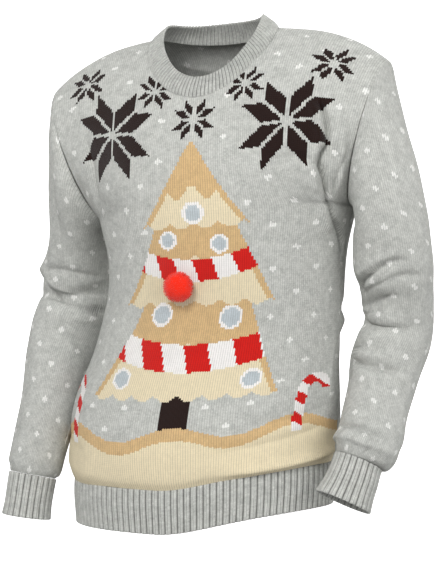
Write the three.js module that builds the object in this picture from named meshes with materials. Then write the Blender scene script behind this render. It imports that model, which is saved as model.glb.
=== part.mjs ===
// A knitted crew-neck sweater in the pose in which it is worn, in millimetres.
// +Z is up, the front faces -Y and +X is the wearer's left. The origin is the middle of the neck,
// level with the shoulder seams, where the sweater is carried.
// Every piece is a wall of cloth. Its outer face is sampled from two smooth surfaces, the body and
// the sleeve, and its inner face lies one thickness inside.
import * as THREE from "three";

// Driving dimensions.
const KNIT = 2.6; // thickness of the plain knit
const RIB = 3.4; // thickness of the ribbing
const SEAM_GAP = 0.55; // clear gap between two pieces at a seam
const HEM_DEPTH = 60; // depth of the hem ribbing
const HEM_TAPER = 3; // how far the hem ribbing draws in towards its edge
const UNDERARM_Z = -240;
const SIDE_Y = 5; // the side seams lie this far behind the middle of the neck

// The neck hole, seen from above, is an ellipse.
const NECK = { centreY: -14, halfWidth: 91, halfDepth: 78 };
// The neck ribbing leans in and rises from its seam, by amounts that change from front to back.
const COLLAR = {
  front: { lean: 17, rise: 27 },
  side: { lean: 21, rise: 18 },
  back: { lean: 11, rise: 27 },
  bow: 2.5,
};

// The armhole is an oval that leans out towards its top.
const ARMHOLE = { x: 209, z: -145, leanX: 31, halfHeight: 95, front: 68, back: 72 };

// How the wearer stands: the left shoulder is up, the hips are off to the right, and a hand in the
// left pocket lifts the hem. Each fades in or out from fromZ to toZ; a bearing runs from the front.
const TILT = { deg: 3.6, fromZ: -290, toZ: -540 };
const SWAY = { x: -20.5, fromZ: -200, toZ: -560 };
const LIFT = { height: 36, fromZ: -400, toZ: -600, startDeg: -15, fullDeg: 85, easeDeg: 110, endDeg: 175 };

const POMPOM = { x: -6, z: -330, diameter: 40, depth: 26, flat: 12, gap: 1.6 };

// Sections of the trunk, from the hem seam up to the underarm.
const TRUNK = [
  // z, half width, front, back, fullness of the corners
  { z: -606, half: 184.5, front: 112, back: 107, full: 0.6 },
  { z: -592, half: 188.5, front: 119, back: 112, full: 0.61 },
  { z: -556, half: 192.5, front: 121, back: 114, full: 0.61 },
  { z: -500, half: 189, front: 117, back: 111, full: 0.6 },
  { z: -432, half: 176, front: 111, back: 106, full: 0.6 },
  { z: -364, half: 168, front: 111, back: 106, full: 0.6 },
  { z: -300, half: 167, front: 120, back: 112, full: 0.6 },
  { z: UNDERARM_Z, half: 178, front: 129, back: 118, full: 0.6 },
];

// Sections of the yoke, from the underarm (180 degrees round the armhole) to the shoulder (0).
// frontY, frontZ, backY and backZ are on the centre lines, hold is how far a section runs straight
// across from there, and inX, inY, inZ and reach say how it leaves the armhole.
const YOKE = [
  { angle: 180, frontY: -129, frontZ: -240, backY: 118, backZ: -240, hold: 113, inX: 0, inY: -1, inZ: 0, reach: 80 },
  { angle: 155, frontY: -131, frontZ: -205, backY: 124, backZ: -203, hold: 112, inX: -0.35, inY: -0.93, inZ: 0, reach: 75 },
  { angle: 130, frontY: -128, frontZ: -172, backY: 127, backZ: -164, hold: 108, inX: -0.6, inY: -0.8, inZ: 0, reach: 72 },
  { angle: 105, frontY: -119, frontZ: -138, backY: 125, backZ: -124, hold: 104, inX: -0.8, inY: -0.6, inZ: 0.05, reach: 72 },
  { angle: 80, frontY: -103, frontZ: -104, backY: 117, backZ: -86, hold: 98, inX: -0.92, inY: -0.38, inZ: 0.1, reach: 74 },
  { angle: 55, frontY: -84, frontZ: -69, backY: 99, backZ: -42, hold: 92, inX: -0.93, inY: -0.22, inZ: 0.28, reach: 78 },
  { angle: 28, frontY: -54, frontZ: -28, backY: 66, backZ: -2, hold: 88, inX: -0.86, inY: -0.1, inZ: 0.48, reach: 80 },
  { angle: 0, frontY: 0, frontZ: 10, backY: 0, backZ: 10, hold: 90, inX: -0.74, inY: 0, inZ: 0.67, reach: 88 },
];

// How the sleeve leaves the armhole, at the same angles, as a direction away from the seam.
const CAP = [
  { angle: 180, outX: 0.95, outY: 0, outZ: -0.3 },
  { angle: 155, outX: 0.8, outY: -0.3, outZ: -0.5 },
  { angle: 130, outX: 0.45, outY: -0.7, outZ: -0.55 },
  { angle: 105, outX: 0.25, outY: -0.65, outZ: -0.7 },
  { angle: 80, outX: 0.2, outY: -0.5, outZ: -0.84 },
  { angle: 55, outX: 0.14, outY: -0.35, outZ: -0.9 },
  { angle: 28, outX: 0.12, outY: -0.2, outZ: -0.95 },
  { angle: 0, outX: 0.12, outY: 0, outZ: -0.97 },
];
const CAP_REACH = 0.3; // share of the cap's length over which each direction holds

// Sections of the sleeves, from the upper arm down to the cuff's edge. across and deep are half
// the section's width and depth, and crease is how deep a fold cuts in at the inside of the elbow.
// The last CUFF_ROWS rows are the cuff, and the row before them is its seam.
const CUFF_ROWS = 2;
const CREASE_ANGLE = 120; // round the front of the section, as the armhole's angles
const LEFT_ARM = [
  { x: 248, y: -3, z: -262, across: 50, deep: 66, crease: 0 },
  { x: 248, y: 9, z: -304, across: 52, deep: 62, crease: 0 },
  { x: 248, y: 20, z: -334, across: 50, deep: 57, crease: 7 },
  { x: 249, y: 29, z: -358, across: 48, deep: 55, crease: 0 },
  { x: 248, y: 35, z: -382, across: 47, deep: 54, crease: 8 },
  { x: 243, y: 34, z: -408, across: 48, deep: 56, crease: 0 },
  { x: 234, y: 25, z: -438, across: 48, deep: 54, crease: 0 },
  { x: 231, y: 9, z: -470, across: 45, deep: 50, crease: 3 },
  { x: 229, y: -14, z: -504, across: 43, deep: 47, crease: 0 },
  { x: 229, y: -36, z: -532, across: 43, deep: 47, crease: 0 },
  { x: 224, y: -49, z: -550, across: 42, deep: 45, crease: 0 },
  { x: 219, y: -55, z: -562, across: 32, deep: 35, crease: 0 },
  { x: 212, y: -64, z: -588, across: 33, deep: 36, crease: 0 },
  { x: 203, y: -73, z: -614, across: 37, deep: 39, crease: 0 },
];
const RIGHT_ARM = [
  { x: 215, y: 26, z: -278, across: 41, deep: 60, crease: 0 },
  { x: 223, y: 40, z: -316, across: 48, deep: 60, crease: 0 },
  { x: 225, y: 47, z: -344, across: 51, deep: 58, crease: 8 },
  { x: 227, y: 47, z: -370, across: 54, deep: 60, crease: 0 },
  { x: 238, y: 38, z: -404, across: 53, deep: 58, crease: 4 },
  { x: 245, y: 26, z: -440, across: 48, deep: 55, crease: 0 },
  { x: 247, y: 10, z: -474, across: 43, deep: 51, crease: 0 },
  { x: 248, y: -6, z: -508, across: 41, deep: 46, crease: 0 },
  { x: 250, y: -22, z: -540, across: 39, deep: 43, crease: 0 },
  { x: 252, y: -36, z: -570, across: 38, deep: 41, crease: 0 },
  { x: 254, y: -43, z: -590, across: 37, deep: 40, crease: 0 },
  { x: 256, y: -46, z: -602, across: 32, deep: 35, crease: 0 },
  { x: 259, y: -51, z: -630, across: 31, deep: 34, crease: 0 },
  { x: 262, y: -55, z: -659, across: 32, deep: 35, crease: 0 },
];

// How finely the surfaces are sampled.
const COLUMNS = 9; // across half a panel
const ARMHOLE_STEPS = 7; // from the underarm to the level of the front or back of the neck
const NECK_STEPS = 7; // from the front or back of the neck to the shoulder seam
const CAP_STEPS = 6;
const HEM_STEPS = 3;
const COLLAR_STEPS = 3;

const TRUNK_SPANS = TRUNK.length - 1;
const SHOULDER = TRUNK_SPANS + YOKE.length - 1; // place of the shoulder seam along the body
const BACK_UNDERARM = SHOULDER + YOKE.length - 1;
const BACK_HEM = BACK_UNDERARM + TRUNK_SPANS;

const vector = (x, y, z) => new THREE.Vector3(x, y, z);
const radians = THREE.MathUtils.degToRad;
const ease = THREE.MathUtils.smoothstep;
const range = (count, from, to) => Array.from({ length: count + 1 }, (_, i) => from + ((to - from) * i) / count);

// A smooth curve through rows of vectors, at place t, which counts rows. Where a row is a corner
// for a column, the curve comes in and goes out on its own side.
function along(rows, t, cornersOf = () => []) {
  const last = rows.length - 1;
  const i = Math.min(last - 1, Math.max(0, Math.floor(t)));
  const u = t - i;
  return rows[i].map((start, column) => {
    const end = rows[i + 1][column];
    const corner = (row) => row <= 0 || row >= last || cornersOf(column).includes(row);
    const before = corner(i) ? start : rows[i - 1][column];
    const after = corner(i + 1) ? end : rows[i + 2][column];
    const half = (a, b, sharp) => b.clone().sub(a).multiplyScalar(sharp ? 1 : 0.5);
    const leave = half(before, end, corner(i));
    const arrive = half(start, after, corner(i + 1));
    return start.clone().multiplyScalar(2 * u ** 3 - 3 * u ** 2 + 1)
      .addScaledVector(leave, u ** 3 - 2 * u ** 2 + u)
      .addScaledVector(end, 3 * u ** 2 - 2 * u ** 3)
      .addScaledVector(arrive, u ** 3 - u ** 2);
  });
}

function bezier([a, b, c, d], s) {
  const r = 1 - s;
  return a.clone().multiplyScalar(r ** 3)
    .addScaledVector(b, 3 * r * r * s)
    .addScaledVector(c, 3 * r * s * s)
    .addScaledVector(d, s ** 3);
}

// A point of the left armhole. way is -1 round its front and 1 round its back.
function armhole(angle, way) {
  const a = radians(angle);
  const depth = way < 0 ? ARMHOLE.front : ARMHOLE.back;
  return vector(
    ARMHOLE.x + ARMHOLE.leanX * Math.cos(a),
    SIDE_Y + way * depth * Math.sin(a),
    ARMHOLE.z + ARMHOLE.halfHeight * Math.cos(a),
  );
}

// The four handles of a section of the left half of the body, from its centre line to its side.
function trunkSection({ z, half, front, back, full }, way) {
  const middle = way < 0 ? -front : back;
  return [
    vector(0, middle, z),
    vector(full * half, middle, z),
    vector(half, SIDE_Y + full * (middle - SIDE_Y), z),
    vector(half, SIDE_Y, z),
  ];
}

function yokeSection(row, way) {
  const middle = way < 0 ? vector(0, row.frontY, row.frontZ) : vector(0, row.backY, row.backZ);
  const edge = armhole(row.angle, way);
  const inward = vector(row.inX, -way * row.inY, row.inZ);
  return [
    middle,
    middle.clone().add(vector(row.hold, 0, 0)),
    edge.clone().addScaledVector(inward, row.reach),
    edge,
  ];
}

const BODY = [
  ...TRUNK.map((row) => trunkSection(row, -1)),
  ...YOKE.slice(1).map((row) => yokeSection(row, -1)),
  ...YOKE.slice(0, -1).reverse().map((row) => yokeSection(row, 1)),
  ...TRUNK.slice(0, -1).reverse().map((row) => trunkSection(row, 1)),
];
const sideCorners = (column) => (column === 3 ? [TRUNK_SPANS, BACK_UNDERARM] : []);

// The left half of the body before it takes the wearer's stance: place goes from the front hem
// seam over the shoulder to the back hem seam, and share from the centre line to the side.
const bodySurface = (place, share) => bezier(along(BODY, place, sideCorners), share);

// Moves a point of the body as the wearer's stance does.
function stance(p) {
  const fade = ({ fromZ, toZ }) => ease(-p.z, -fromZ, -toZ);
  const bearing = THREE.MathUtils.radToDeg(Math.atan2(p.x, -p.y));
  const lifted = ease(bearing, LIFT.startDeg, LIFT.fullDeg) * (1 - ease(bearing, LIFT.easeDeg, LIFT.endDeg));
  const q = p.clone().applyAxisAngle(vector(0, 1, 0), -radians(TILT.deg) * (1 - fade(TILT)));
  q.z += LIFT.height * lifted * fade(LIFT);
  q.x += SWAY.x * fade(SWAY);
  return q;
}

const insideNeck = (p) => (p.x / NECK.halfWidth) ** 2 + ((p.y - NECK.centreY) / NECK.halfDepth) ** 2 < 1;

// The value between low and high where test turns from true to false.
function turning(low, high, test) {
  for (let i = 0; i < 40; i += 1) {
    const middle = (low + high) / 2;
    if (test(middle)) low = middle;
    else high = middle;
  }
  return (low + high) / 2;
}

const FRONT_NECK = turning(TRUNK_SPANS, SHOULDER, (t) => !insideNeck(bodySurface(t, 0)));
const BACK_NECK = turning(SHOULDER, BACK_UNDERARM, (t) => insideNeck(bodySurface(t, 0)));

// Where a section starts: at the centre line, or at the edge of the neck hole.
function startOf(place) {
  if (!(place > FRONT_NECK + 1e-6 && place < BACK_NECK - 1e-6)) return 0;
  return turning(0, 1, (s) => insideNeck(bodySurface(place, s)));
}

// How far round the neck hole a place lies, from 0 at the front to 180 at the back.
function neckBearing(place) {
  const p = bodySurface(place, startOf(place));
  return THREE.MathUtils.radToDeg(Math.atan2(p.x, NECK.centreY - p.y));
}

// Places from the underarm to the shoulder seam. Those beside the neck hole are spaced evenly round it.
function yokePlaces(underarm, neck) {
  const ends = [neck < SHOULDER ? 0 : 180, neckBearing(SHOULDER)];
  const between = range(NECK_STEPS, ...ends).slice(1, -1).map((bearing) => (
    turning(neck, SHOULDER, (t) => (neck < SHOULDER ? neckBearing(t) < bearing : neckBearing(t) > bearing))
  ));
  return [...range(ARMHOLE_STEPS, underarm, neck), ...between, SHOULDER];
}
const FRONT_PLACES = [...range(TRUNK_SPANS, 0, TRUNK_SPANS).slice(0, -1), ...yokePlaces(TRUNK_SPANS, FRONT_NECK)];
const BACK_PLACES = [
  ...range(TRUNK_SPANS, BACK_HEM, BACK_UNDERARM).slice(0, -1),
  ...yokePlaces(BACK_UNDERARM, BACK_NECK),
];

// A patchwork of quads whose corners are shared by position.
class Cloth {
  constructor() {
    this.points = [];
    this.quads = [];
    this.index = new Map();
  }
  static key(p) {
    return [p.x, p.y, p.z].map((c) => Math.round(c * 1000)).join();
  }
  at(p) {
    const key = Cloth.key(p);
    if (!this.index.has(key)) {
      this.index.set(key, this.points.length);
      this.points.push(p.clone());
    }
    return this.index.get(key);
  }
  // Adds a grid of points, as rows. flip turns its faces round.
  grid(rows, flip = false) {
    for (let i = 0; i + 1 < rows.length; i += 1) {
      for (let j = 0; j + 1 < rows[i].length; j += 1) {
        const quad = [rows[i][j], rows[i][j + 1], rows[i + 1][j + 1], rows[i + 1][j]].map((p) => this.at(p));
        const corners = quad.filter((v, k) => v !== quad[(k + 1) % 4]);
        if (corners.length > 2) this.quads.push(flip ? corners.reverse() : corners);
      }
    }
    return this;
  }
  triangles() {
    return this.quads.flatMap((q) => (q.length === 3 ? [q] : [[q[0], q[1], q[2]], [q[0], q[2], q[3]]]));
  }
}

// The outward direction at every point of the whole sweater. Pieces that meet at a point count
// alike, so that they share one mitred edge at their seam.
function outwardDirections(cloths) {
  const sums = new Map();
  for (const cloth of cloths) {
    const normals = cloth.points.map(() => vector(0, 0, 0));
    for (const corners of cloth.triangles()) {
      const [p, q, r] = corners.map((i) => cloth.points[i]);
      const normal = q.clone().sub(p).cross(r.clone().sub(p));
      for (const i of corners) normals[i].add(normal);
    }
    cloth.points.forEach((p, i) => {
      const key = Cloth.key(p);
      sums.set(key, (sums.get(key) ?? vector(0, 0, 0)).add(normals[i].normalize()));
    });
  }
  return (p) => sums.get(Cloth.key(p)).clone().normalize();
}

// The closed wall of a piece: its outer face, an inner face one thickness in, and the edges between.
// Open edges draw back from the seam line by half the seam gap.
function wall(cloth, thickness, outward) {
  const triangles = cloth.triangles();
  const edges = new Map();
  for (const t of triangles) {
    for (let k = 0; k < 3; k += 1) {
      const [a, b] = [t[k], t[(k + 1) % 3]];
      edges.set(`${a},${b}`, [a, b]);
    }
  }
  const rim = [...edges.values()].filter(([a, b]) => !edges.has(`${b},${a}`));
  const pull = cloth.points.map(() => vector(0, 0, 0));
  for (const [a, b] of rim) {
    const lengthwise = cloth.points[b].clone().sub(cloth.points[a]).normalize();
    for (const i of [a, b]) pull[i].add(outward(cloth.points[i]).cross(lengthwise).normalize());
  }
  const outer = cloth.points.map((p, i) => p.clone().addScaledVector(pull[i].normalize(), SEAM_GAP / 2));
  const inner = outer.map((p, i) => p.clone().addScaledVector(outward(cloth.points[i]), -thickness));
  const count = outer.length;
  // The edge between two faces is split the same way by both of the pieces that meet at a seam.
  const edge = ([a, b]) => {
    const first = Cloth.key(cloth.points[a]) < Cloth.key(cloth.points[b]);
    return first
      ? [[a, a + count, b + count], [a, b + count, b]]
      : [[a, a + count, b], [a + count, b + count, b]];
  };
  const faces = [
    ...triangles,
    ...triangles.map(([a, b, c]) => [a + count, c + count, b + count]),
    ...rim.flatMap(edge),
  ];
  const geometry = new THREE.BufferGeometry();
  geometry.setAttribute("position", new THREE.Float32BufferAttribute([...outer, ...inner].flatMap((p) => p.toArray()), 3));
  geometry.setIndex(faces.flat());
  geometry.computeVertexNormals();
  return geometry;
}

const mirrored = (p) => vector(-p.x, p.y, p.z);

// One half of a panel, as rows from its hem to its shoulder seam.
function halfPanel(places, side) {
  return places.map((place) => {
    const start = startOf(place);
    const row = range(COLUMNS, start, 1).map((share) => bodySurface(place, share));
    return row.map((p) => stance(side > 0 ? p : mirrored(p)));
  });
}

// The flips keep each face pointing out of the garment.
function panel(places, front) {
  return new Cloth()
    .grid(halfPanel(places, 1), !front)
    .grid(halfPanel(places, -1), front);
}

// The hem ribbing under one panel.
function hemRib(places, front) {
  const cloth = new Cloth();
  for (const side of [1, -1]) {
    const seam = halfPanel(places.slice(0, 1), side)[0];
    const rows = range(HEM_STEPS, 1, 0).map((share) =>
      seam.map((p) => {
        const middle = vector(SWAY.x, 0, p.z);
        const inward = middle.sub(p).normalize();
        return p.clone().addScaledVector(inward, HEM_TAPER * share).add(vector(0, 0, -HEM_DEPTH * share));
      }),
    );
    cloth.grid(rows, front ? side < 0 : side > 0);
  }
  return cloth;
}

// The points of the neck seam, from the middle of the front round the left side to the middle of the back.
function neckSeam(side) {
  const front = FRONT_PLACES.filter((place) => place >= FRONT_NECK);
  const back = BACK_PLACES.filter((place) => place <= BACK_NECK && place > SHOULDER).reverse();
  return [...front, ...back].map((place) => {
    const p = bodySurface(place, startOf(place));
    return stance(side > 0 ? p : mirrored(p));
  });
}

// Lean and rise of the neck ribbing at a bearing from the front, 0 to 180 degrees.
function collarLean(bearing) {
  const end = bearing < 90 ? COLLAR.front : COLLAR.back;
  const share = Math.cos(radians(bearing)) ** 2;
  const mix = (key) => THREE.MathUtils.lerp(COLLAR.side[key], end[key], share);
  return { lean: mix("lean"), rise: mix("rise") };
}

function neckRib() {
  const cloth = new Cloth();
  for (const side of [1, -1]) {
    const seam = neckSeam(side);
    const rows = range(COLLAR_STEPS, 0, 1).map((share) =>
      seam.map((p) => {
        const inward = vector(-p.x, NECK.centreY - p.y, 0).normalize();
        const bearing = THREE.MathUtils.radToDeg(Math.atan2(Math.abs(p.x), NECK.centreY - p.y));
        const { lean, rise } = collarLean(bearing);
        const bowed = COLLAR.bow * 4 * share * (1 - share);
        return p.clone()
          .addScaledVector(inward, lean * share - bowed)
          .add(vector(0, 0, rise * share));
      }),
    );
    cloth.grid(rows, side < 0);
  }
  return cloth;
}

// A ring of a sleeve at place t along its sections. Its columns are the armhole's angles.
function sleeveRing(sections, t, columns) {
  const rows = sections.map(({ x, y, z, across, deep, crease }) => [
    vector(x, y, z),
    vector(across, deep, crease),
  ]);
  const step = 0.05;
  const last = rows.length - 1;
  const [centre, size] = along(rows, t);
  const ahead = along(rows, Math.min(last, t + step))[0].sub(along(rows, Math.max(0, t - step))[0]).normalize();
  const outer = vector(1, 0, 0).addScaledVector(ahead, -ahead.x).normalize();
  const rear = vector(0, 1, 0).addScaledVector(ahead, -ahead.y).addScaledVector(outer, -outer.y).normalize();
  return columns.map(({ angle, way }) => {
    const from = radians(angle - CREASE_ANGLE);
    const creased = way < 0 ? size.z * Math.max(0, Math.cos(from)) ** 2 : 0;
    return centre.clone()
      .addScaledVector(outer, (size.x - creased) * Math.cos(radians(angle)))
      .addScaledVector(rear, way * (size.y - creased) * Math.sin(radians(angle)));
  });
}

// The armhole's columns, round its front from the underarm to the shoulder and down its back.
const angleAt = (place) => {
  const span = place <= SHOULDER ? place - TRUNK_SPANS : BACK_UNDERARM - place;
  return along(YOKE.map((row) => [vector(row.angle, 0, 0)]), span)[0].x;
};
const SLEEVE_COLUMNS = [
  ...FRONT_PLACES.filter((place) => place >= TRUNK_SPANS).map((place) => ({ place, way: -1 })),
  ...BACK_PLACES.filter((place) => place <= BACK_UNDERARM).slice(0, -1).reverse().map((place) => ({ place, way: 1 })),
].map(({ place, way }) => ({ place, way, angle: angleAt(place) }));

const ringsBetween = (sections, from, to) =>
  range(to - from, from, to).map((t) => sleeveRing(sections, t, SLEEVE_COLUMNS));
const cuffSeam = (sections) => sections.length - 1 - CUFF_ROWS;
const cuff = (sections, side) => tube(ringsBetween(sections, cuffSeam(sections), sections.length - 1), side);

function sleeve(sections, side) {
  const turned = (p) => (side > 0 ? p : mirrored(p));
  const seam = SLEEVE_COLUMNS.map(({ place }) => turned(stance(turned(bodySurface(place, 1)))));
  const upperArm = sleeveRing(sections, 0, SLEEVE_COLUMNS);
  const next = sleeveRing(sections, 0.2, SLEEVE_COLUMNS);
  const capRows = CAP.map((row) => [vector(row.outX, row.outY, row.outZ)]);
  const cap = range(CAP_STEPS, 0, 1).map((share) =>
    seam.map((p, j) => {
      const { place, way } = SLEEVE_COLUMNS[j];
      const span = way < 0 ? place - TRUNK_SPANS : BACK_UNDERARM - place;
      const out = along(capRows, span)[0].normalize();
      out.y *= -way;
      const reach = CAP_REACH * p.distanceTo(upperArm[j]);
      const arrival = next[j].clone().sub(upperArm[j]).normalize();
      return bezier([
        p,
        p.clone().addScaledVector(out, reach),
        upperArm[j].clone().addScaledVector(arrival, -reach),
        upperArm[j],
      ], share);
    }),
  );
  return tube([...cap, ...ringsBetween(sections, 0, cuffSeam(sections)).slice(1)], side);
}

// Rings down an arm, as a tube. side is -1 for the right arm.
function tube(rings, side) {
  const closed = rings.map((ring) => [...ring, ring[0]].map((p) => (side > 0 ? p : mirrored(p))));
  return new Cloth().grid(closed, side > 0);
}

// A felted ball with a small flat back, sewn to the front.
function pompom() {
  const { x, z, diameter, depth, flat, gap } = POMPOM;
  const radius = diameter / 2;
  const profile = new THREE.Path();
  profile.moveTo(0, 0);
  profile.lineTo(flat / 2, 0);
  profile.bezierCurveTo(radius * 0.8, 0, radius, depth * 0.2, radius, depth * 0.48);
  profile.bezierCurveTo(radius, depth * 0.8, radius * 0.6, depth, 0, depth);
  const geometry = new THREE.LatheGeometry(profile.getPoints(5), 18);
  const [middle, right, above] = [frontAt(x, z), frontAt(x + flat, z), frontAt(x, z + flat)];
  const out = right.sub(middle).cross(above.sub(middle)).normalize();
  geometry.applyQuaternion(new THREE.Quaternion().setFromUnitVectors(vector(0, 1, 0), out));
  middle.addScaledVector(out, gap);
  geometry.translate(middle.x, middle.y, middle.z);
  return geometry;
}

// The front of the body at a sideways place and a height.
function frontAt(x, z) {
  const place = turning(0, TRUNK_SPANS, (t) => stance(bodySurface(t, 0)).z < z);
  const side = x < stance(bodySurface(place, 0)).x ? -1 : 1;
  const at = (s) => {
    const p = bodySurface(place, s);
    return stance(side > 0 ? p : mirrored(p));
  };
  return at(turning(0, 1, (s) => (at(s).x - x) * side < 0));
}

const CLOTHS = {
  front_panel: { cloth: panel(FRONT_PLACES, true), thickness: KNIT, colour: "grey" },
  back_panel: { cloth: panel(BACK_PLACES, false), thickness: KNIT, colour: "grey" },
  left_sleeve: { cloth: sleeve(LEFT_ARM, 1), thickness: KNIT, colour: "grey" },
  right_sleeve: { cloth: sleeve(RIGHT_ARM, -1), thickness: KNIT, colour: "grey" },
  neck_rib: { cloth: neckRib(), thickness: RIB, colour: "rib" },
  front_hem_rib: { cloth: hemRib(FRONT_PLACES, true), thickness: RIB, colour: "rib" },
  back_hem_rib: { cloth: hemRib(BACK_PLACES, false), thickness: RIB, colour: "rib" },
  left_cuff: { cloth: cuff(LEFT_ARM, 1), thickness: RIB, colour: "rib" },
  right_cuff: { cloth: cuff(RIGHT_ARM, -1), thickness: RIB, colour: "rib" },
};

const MATERIALS = {
  grey: new THREE.MeshStandardMaterial({ color: "#b9bab6", roughness: 0.95, metalness: 0 }),
  rib: new THREE.MeshStandardMaterial({ color: "#adafab", roughness: 0.95, metalness: 0 }),
  red: new THREE.MeshStandardMaterial({ color: "#e22410", roughness: 1, metalness: 0 }),
};

const sweater = new THREE.Group();
const outward = outwardDirections(Object.values(CLOTHS).map(({ cloth }) => cloth));
for (const [name, { cloth, thickness, colour }] of Object.entries(CLOTHS)) {
  const mesh = new THREE.Mesh(wall(cloth, thickness, outward), MATERIALS[colour]);
  mesh.name = name;
  sweater.add(mesh);
}
const ball = new THREE.Mesh(pompom(), MATERIALS.red);
ball.name = "pompom";
sweater.add(ball);

export default sweater;
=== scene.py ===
"""Looks of a knitted christmas sweater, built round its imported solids.

Sizes in the tables are in millimetres, in the part's own frame: +Z is up, the front faces -Y, +X is the
wearer's left, and the origin is the middle of the neck. Meshes are made in metres.
"""

import math

import bmesh
import bpy
import numpy as np
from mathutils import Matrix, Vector


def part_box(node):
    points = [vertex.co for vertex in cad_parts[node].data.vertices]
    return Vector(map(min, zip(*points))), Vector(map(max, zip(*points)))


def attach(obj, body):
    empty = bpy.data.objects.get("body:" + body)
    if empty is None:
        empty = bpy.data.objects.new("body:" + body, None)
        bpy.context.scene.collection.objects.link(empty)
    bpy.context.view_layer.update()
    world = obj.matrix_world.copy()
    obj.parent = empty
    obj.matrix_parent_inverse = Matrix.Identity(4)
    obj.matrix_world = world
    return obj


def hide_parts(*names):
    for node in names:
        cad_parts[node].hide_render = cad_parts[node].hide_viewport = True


bl_info = {
    "name": "Christmas sweater",
    "version": (1, 0, 0),
    "blender": (4, 5, 0),
    "location": "3D View > Sidebar > Sweater",
    "description": "Builds a knitted christmas sweater round its packed solids",
    "category": "Object",
}

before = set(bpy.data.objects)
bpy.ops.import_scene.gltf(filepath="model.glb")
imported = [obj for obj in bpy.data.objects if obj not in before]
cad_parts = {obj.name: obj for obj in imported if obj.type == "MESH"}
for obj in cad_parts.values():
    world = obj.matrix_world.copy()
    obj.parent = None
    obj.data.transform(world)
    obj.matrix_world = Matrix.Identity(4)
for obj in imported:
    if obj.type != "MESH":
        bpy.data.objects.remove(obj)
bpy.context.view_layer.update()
MM = 0.001

# ---------------------------------------------------------------------------------------------
# The form of the cloth. These tables are the solids' own.

UNDERARM_Z = -240
SIDE_Y = 5
NECK = {"centre_y": -14, "half_width": 91, "half_depth": 78}
COLLAR_FRONT = {"lean": 17, "rise": 27}
COLLAR_SIDE = {"lean": 21, "rise": 18}
COLLAR_BACK = {"lean": 11, "rise": 27}
COLLAR_BOW = 2.5
ARMHOLE = {"x": 209, "z": -145, "lean_x": 31, "half_height": 95, "front": 68, "back": 72}
TILT = {"deg": 3.6, "from_z": -290, "to_z": -540}
SWAY = {"x": -20.5, "from_z": -200, "to_z": -560}
LIFT = {"height": 36, "from_z": -400, "to_z": -600, "start": -15, "full": 85, "ease": 110, "end": 175}
HEM_DEPTH = 60
HEM_TAPER = 3
RIB = 3.4
CAP_REACH = 0.3
CREASE_ANGLE = 120
CUFF_ROWS = 2

TRUNK = np.array([
    # z, half width, front, back, fullness of the corners
    (-606, 184.5, 112, 107, 0.6),
    (-592, 188.5, 119, 112, 0.61),
    (-556, 192.5, 121, 114, 0.61),
    (-500, 189, 117, 111, 0.6),
    (-432, 176, 111, 106, 0.6),
    (-364, 168, 111, 106, 0.6),
    (-300, 167, 120, 112, 0.6),
    (UNDERARM_Z, 178, 129, 118, 0.6),
])
YOKE = np.array([
    # angle, front y, front z, back y, back z, hold, in x, in y, in z, reach
    (180, -129, -240, 118, -240, 113, 0, -1, 0, 80),
    (155, -131, -205, 124, -203, 112, -0.35, -0.93, 0, 75),
    (130, -128, -172, 127, -164, 108, -0.6, -0.8, 0, 72),
    (105, -119, -138, 125, -124, 104, -0.8, -0.6, 0.05, 72),
    (80, -103, -104, 117, -86, 98, -0.92, -0.38, 0.1, 74),
    (55, -84, -69, 99, -42, 92, -0.93, -0.22, 0.28, 78),
    (28, -54, -28, 66, -2, 88, -0.86, -0.1, 0.48, 80),
    (0, 0, 10, 0, 10, 90, -0.74, 0, 0.67, 88),
])
CAP = np.array([
    # angle, out x, out y, out z
    (180, 0.95, 0, -0.3),
    (155, 0.8, -0.3, -0.5),
    (130, 0.45, -0.7, -0.55),
    (105, 0.25, -0.65, -0.7),
    (80, 0.2, -0.5, -0.84),
    (55, 0.14, -0.35, -0.9),
    (28, 0.12, -0.2, -0.95),
    (0, 0.12, 0, -0.97),
])
LEFT_ARM = np.array([
    # x, y, z, half width, half depth, crease at the elbow
    (248, -3, -262, 50, 66, 0),
    (248, 9, -304, 52, 62, 0),
    (248, 20, -334, 50, 57, 7),
    (249, 29, -358, 48, 55, 0),
    (248, 35, -382, 47, 54, 8),
    (243, 34, -408, 48, 56, 0),
    (234, 25, -438, 48, 54, 0),
    (231, 9, -470, 45, 50, 3),
    (229, -14, -504, 43, 47, 0),
    (229, -36, -532, 43, 47, 0),
    (224, -49, -550, 42, 45, 0),
    (219, -55, -562, 32, 35, 0),
    (212, -64, -588, 33, 36, 0),
    (203, -73, -614, 37, 39, 0),
], dtype=float)
RIGHT_ARM = np.array([
    (215, 26, -278, 41, 60, 0),
    (223, 40, -316, 48, 60, 0),
    (225, 47, -344, 51, 58, 8),
    (227, 47, -370, 54, 60, 0),
    (238, 38, -404, 53, 58, 4),
    (245, 26, -440, 48, 55, 0),
    (247, 10, -474, 43, 51, 0),
    (248, -6, -508, 41, 46, 0),
    (250, -22, -540, 39, 43, 0),
    (252, -36, -570, 38, 41, 0),
    (254, -43, -590, 37, 40, 0),
    (256, -46, -602, 32, 35, 0),
    (259, -51, -630, 31, 34, 0),
    (262, -55, -659, 32, 35, 0),
], dtype=float)

SPANS = len(TRUNK) - 1
SHOULDER = SPANS + len(YOKE) - 1
BACK_UNDERARM = SHOULDER + len(YOKE) - 1
BACK_HEM = BACK_UNDERARM + SPANS

# ---------------------------------------------------------------------------------------------
# Folds in the cloth, each a soft trough (depth below 0) or ridge (above 0) along a bowed line.

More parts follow.
